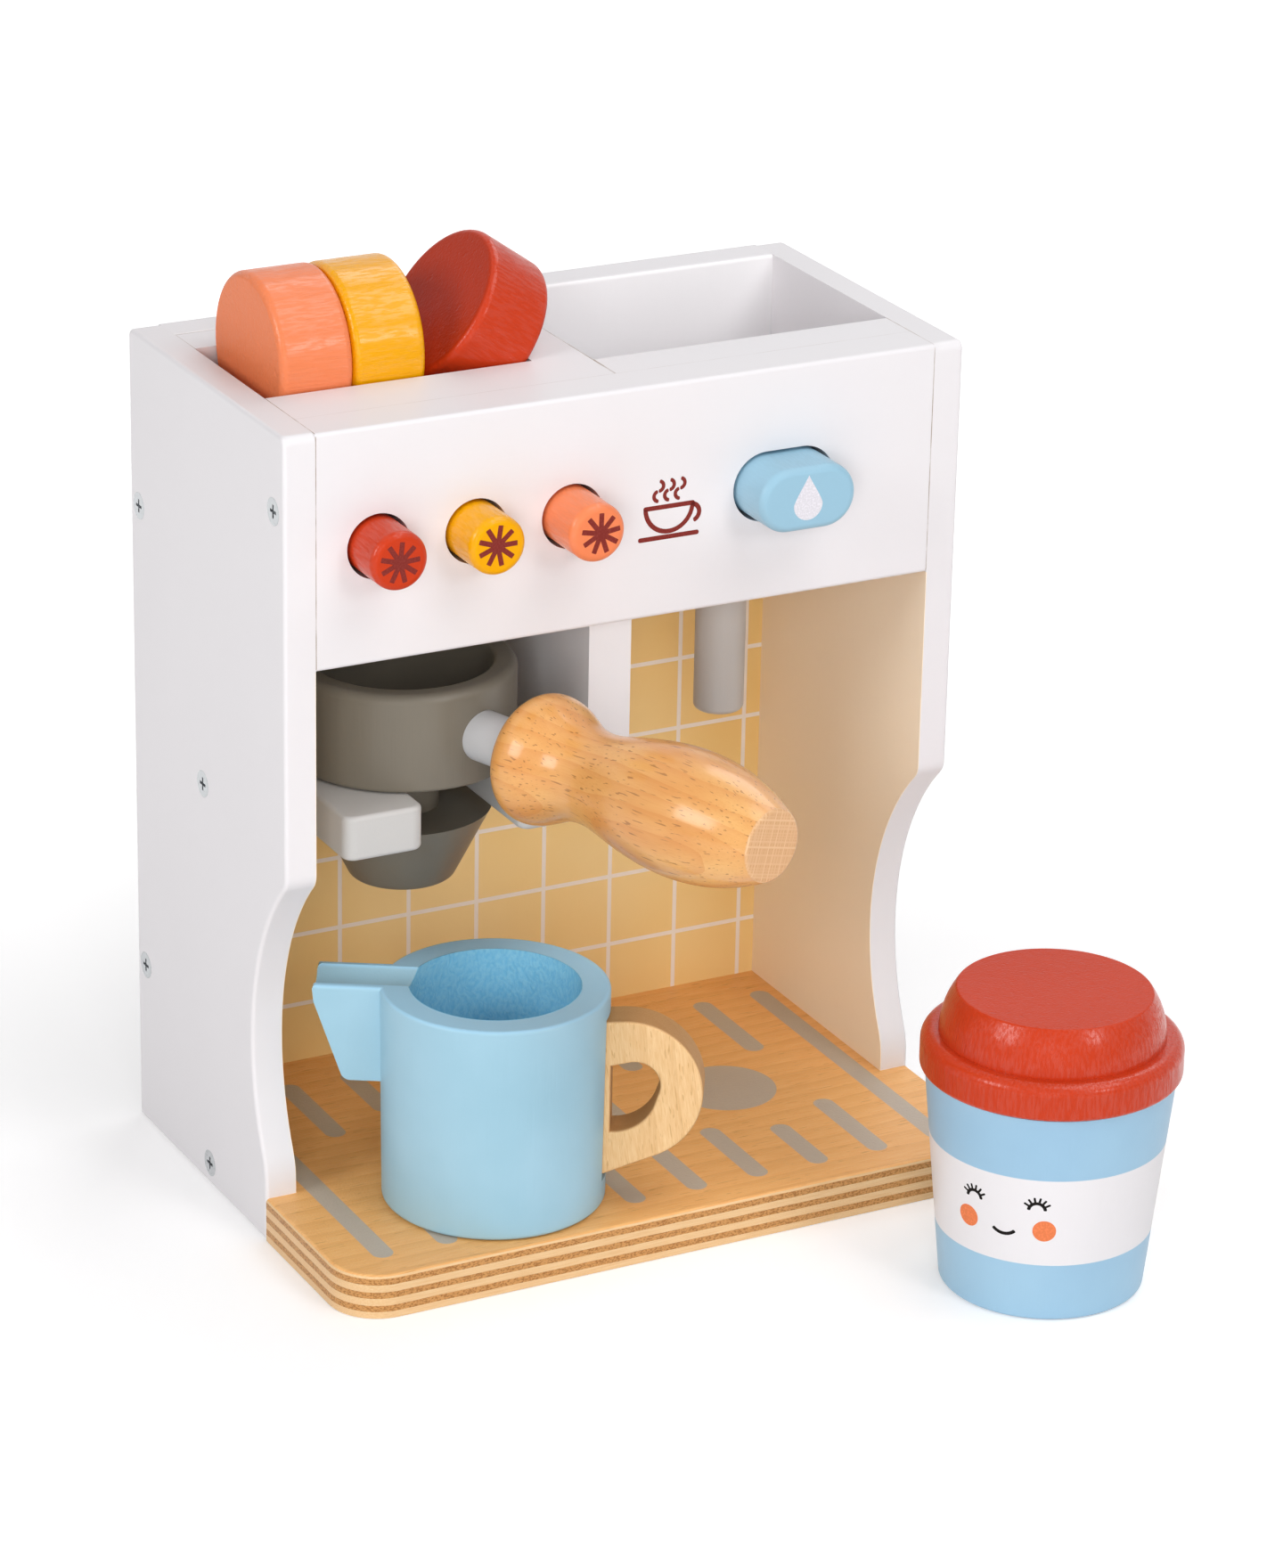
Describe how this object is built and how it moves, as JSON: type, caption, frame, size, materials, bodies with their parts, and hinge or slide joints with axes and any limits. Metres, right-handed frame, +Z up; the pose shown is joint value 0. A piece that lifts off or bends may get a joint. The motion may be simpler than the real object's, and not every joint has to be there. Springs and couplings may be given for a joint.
{
  "type": "toy coffee maker",
  "caption": "Wooden toy coffee maker with a pod deck, an open cup tray, push buttons, a portafilter in a fork, a milk wand, a milk jug and a lidded takeaway cup.",
  "frame": {"origin": "on the surface that the toy stands on, midway between the side panels and level with the cabinet's front face", "axes": "+Z up, -Y towards the child who plays, +X to the child's right"},
  "size_m": [0.2309, 0.2453, 0.2814],
  "materials": {
    "white_paint": "smooth white paint on wood",
    "base_ply": "clear lacquered birch plywood",
    "red_paint": "gloss red paint on wood",
    "yellow_paint": "gloss yellow paint on wood",
    "peach_paint": "gloss peach paint on wood",
    "blue_paint": "satin light blue paint on wood",
    "grey_paint": "satin light grey paint on wood",
    "dark_paint": "satin dark grey paint on turned wood",
    "lacquered_wood": "gloss lacquered turned hardwood",
    "beech": "plain sanded beech",
    "steel": "zinc plated"
  },
  "bodies": {
    "cabinet": {"side_panel_left": "white_paint", "side_panel_right": "white_paint", "back_panel": "white_paint", "front_panel": "white_paint", "button_board": "white_paint", "tray_front": "white_paint", "pod_deck": "white_paint", "pod_floor": "white_paint", "tray_wall": "white_paint", "shelf": "white_paint", "divider": "white_paint", "fork": "grey_paint", "milk_wand": "grey_paint", "base_board": "base_ply", "panel_screws": "steel", "red_button_spring": "steel", "yellow_button_spring": "steel", "peach_button_spring": "steel", "water_button_spring": "steel"},
    "red_button": {"red_button": "red_paint"},
    "yellow_button": {"yellow_button": "yellow_paint"},
    "peach_button": {"peach_button": "peach_paint"},
    "water_button": {"water_button": "blue_paint"},
    "portafilter": {"filter_cup": "dark_paint", "handle_dowel": "grey_paint", "filter_handle": "lacquered_wood"},
    "peach_pod": {"peach_pod": "peach_paint"},
    "yellow_pod": {"yellow_pod": "yellow_paint"},
    "red_pod": {"red_pod": "red_paint"},
    "milk_jug": {"jug_body": "blue_paint", "jug_handle": "beech"},
    "takeaway_cup": {"takeaway_cup": "blue_paint"},
    "cup_lid": {"cup_lid": "red_paint"}
  },
  "joints": [
    {"name": "red_button_press", "type": "slide", "parent": "cabinet", "child": "red_button", "axis": [0, 1, 0], "range_m": [0, 0.005], "stiffness_N_per_m": 150, "deforming": ["red_button_spring"]},
    {"name": "yellow_button_press", "type": "slide", "parent": "cabinet", "child": "yellow_button", "axis": [0, 1, 0], "range_m": [0, 0.005], "stiffness_N_per_m": 150, "deforming": ["yellow_button_spring"]},
    {"name": "peach_button_press", "type": "slide", "parent": "cabinet", "child": "peach_button", "axis": [0, 1, 0], "range_m": [0, 0.005], "stiffness_N_per_m": 150, "deforming": ["peach_button_spring"]},
    {"name": "water_button_press", "type": "slide", "parent": "cabinet", "child": "water_button", "axis": [0, 1, 0], "range_m": [0, 0.005], "stiffness_N_per_m": 150, "deforming": ["water_button_spring"]},
    {"name": "portafilter_slide", "type": "slide", "parent": "cabinet", "child": "portafilter", "axis": [0, -1, 0], "range_m": [0, 0.12]},
    {"name": "peach_pod_lift", "type": "slide", "parent": "cabinet", "child": "peach_pod", "axis": [0, 0, 1], "range_m": [0, 0.06]},
    {"name": "yellow_pod_lift", "type": "slide", "parent": "cabinet", "child": "yellow_pod", "axis": [0, 0, 1], "range_m": [0, 0.06]},
    {"name": "red_pod_lift", "type": "slide", "parent": "cabinet", "child": "red_pod", "axis": [0, 0, 1], "range_m": [0, 0.06]},
    {"name": "milk_jug_lift", "type": "slide", "parent": "cabinet", "child": "milk_jug", "axis": [0, -0.9848, 0.1736], "range_m": [0, 0.09]},
    {"name": "takeaway_cup_lift", "type": "slide", "parent": "cabinet", "child": "takeaway_cup", "axis": [0, 0, 1], "range_m": [0, 0.1]},
    {"name": "cup_lid_lift", "type": "slide", "parent": "takeaway_cup", "child": "cup_lid", "axis": [0, 0, 1], "range_m": [0, 0.05]}
  ]
}
